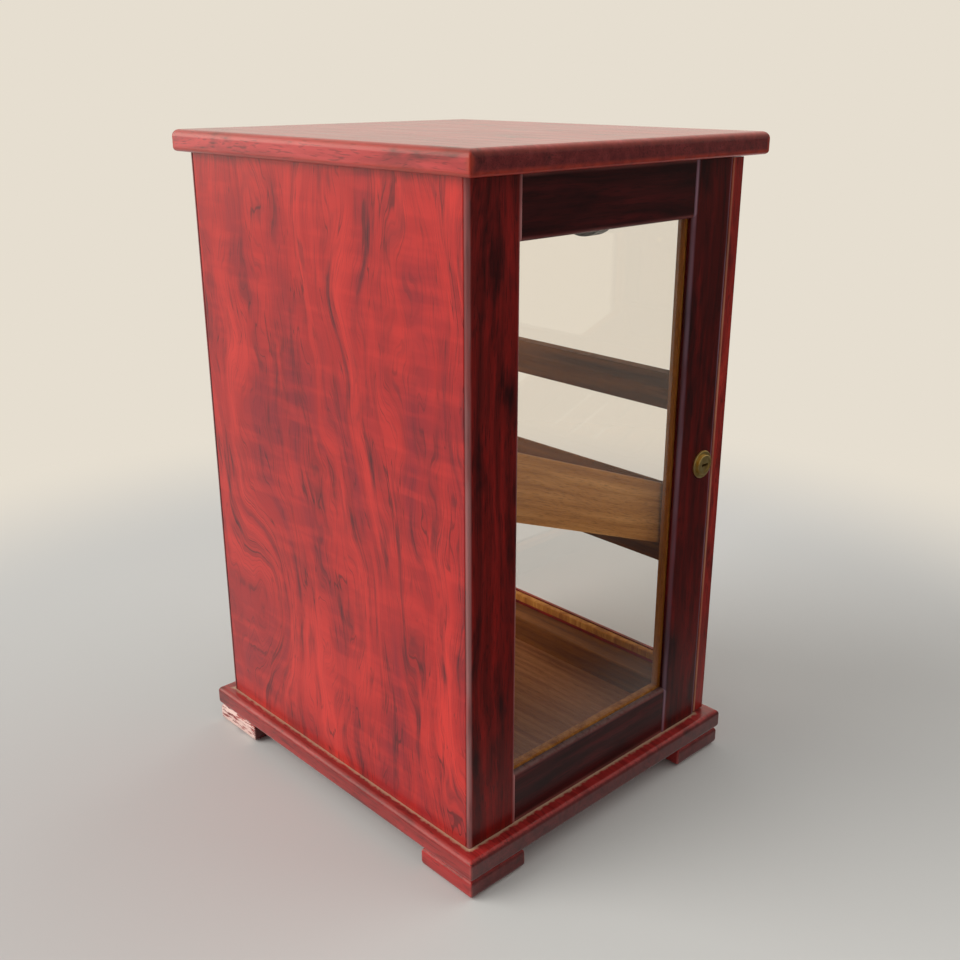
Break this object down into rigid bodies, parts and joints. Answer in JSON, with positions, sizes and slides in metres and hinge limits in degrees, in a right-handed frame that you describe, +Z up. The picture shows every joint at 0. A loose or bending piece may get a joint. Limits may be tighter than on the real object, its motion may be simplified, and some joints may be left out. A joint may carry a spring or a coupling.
{
  "type": "cigar humidor display cabinet",
  "caption": "Small wooden humidor cabinet with a veneered back, glazed sides, a glazed hinged door with a cam lock, and a tilted cedar tray that lifts out.",
  "frame": {"origin": "on the surface the cabinet stands on, under the middle of its bounding box", "axes": "+Z up; -Y is the door side, +Y the solid back; hinges at +X, lock at -X"},
  "size_m": [0.331, 0.2982, 0.508],
  "materials": {
    "mahogany_case": "satin",
    "mahogany_veneer": "satin",
    "cedar": "raw",
    "beech": "raw",
    "clear_glass": "polished",
    "brass": "polished",
    "steel": "satin",
    "black_plastic": "matte",
    "foam": "matte",
    "felt": "matte"
  },
  "bodies": {
    "cabinet": {"back_lining": "cedar", "back_panel": "mahogany_veneer", "base_board": "mahogany_case", "carcass_dowels": "beech", "carcass_hinge_screws": "brass", "ceiling_lining": "cedar", "floor_lining": "cedar", "foot_front_left": "mahogany_case", "foot_front_right": "mahogany_case", "foot_rear_left": "mahogany_case", "foot_rear_right": "mahogany_case", "foot_screws": "steel", "front_bottom_rail": "cedar", "left_side_beads": "cedar", "left_side_bottom_rail": "mahogany_case", "left_side_front_stile": "mahogany_case", "left_side_glass": "clear_glass", "left_side_rear_stile": "mahogany_case", "left_side_top_rail": "mahogany_case", "lock_housing": "brass", "lock_nut": "brass", "lower_front_tray_rail": "cedar", "lower_hinge_carcass_leaf": "brass", "lower_hinge_pin": "brass", "lower_rear_tray_rail": "cedar", "right_side_beads": "cedar", "right_side_bottom_rail": "mahogany_case", "right_side_front_stile": "mahogany_case", "right_side_glass": "clear_glass", "right_side_rear_stile": "mahogany_case", "right_side_top_rail": "mahogany_case", "top_slab": "mahogany_case", "tray_rail_screws": "brass", "upper_front_tray_rail": "cedar", "upper_hinge_carcass_leaf": "brass", "upper_hinge_pin": "brass", "upper_rear_tray_rail": "cedar"},
    "door": {"door_beads": "cedar", "door_bottom_rail": "mahogany_case", "door_fitting_screws": "brass", "door_glass": "clear_glass", "door_hinge_screws": "brass", "door_hinge_stile": "mahogany_case", "door_lock_stile": "mahogany_case", "door_seal": "felt", "door_top_rail": "mahogany_case", "humidifier_cover": "black_plastic", "humidifier_cup": "black_plastic", "humidifier_pad": "foam", "lock_keeper": "steel", "lower_hinge_door_leaf": "brass", "upper_hinge_door_leaf": "brass"},
    "lock_turn": {"lock_cam": "steel", "lock_cam_screw": "steel", "lock_plug": "brass"},
    "tray": {"tray_back": "cedar", "tray_bottom": "cedar", "tray_front": "cedar", "tray_left_side": "cedar", "tray_right_side": "cedar"}
  },
  "joints": [
    {"name": "door_hinge", "type": "hinge", "parent": "cabinet", "child": "door", "pos_m": [0.1559, -0.12225, 0.2625], "axis": [0, 0, 1], "range_deg": [0, 105]},
    {"name": "lock_cam_turn", "type": "hinge", "parent": "cabinet", "child": "lock_turn", "pos_m": [-0.137, -0.10835, 0.26153], "axis": [-1, 0, 0], "range_deg": [0, 90]},
    {"name": "tray_lift", "type": "slide", "parent": "cabinet", "child": "tray", "axis": [0, 0, 1], "range_m": [0, 0.013]}
  ]
}
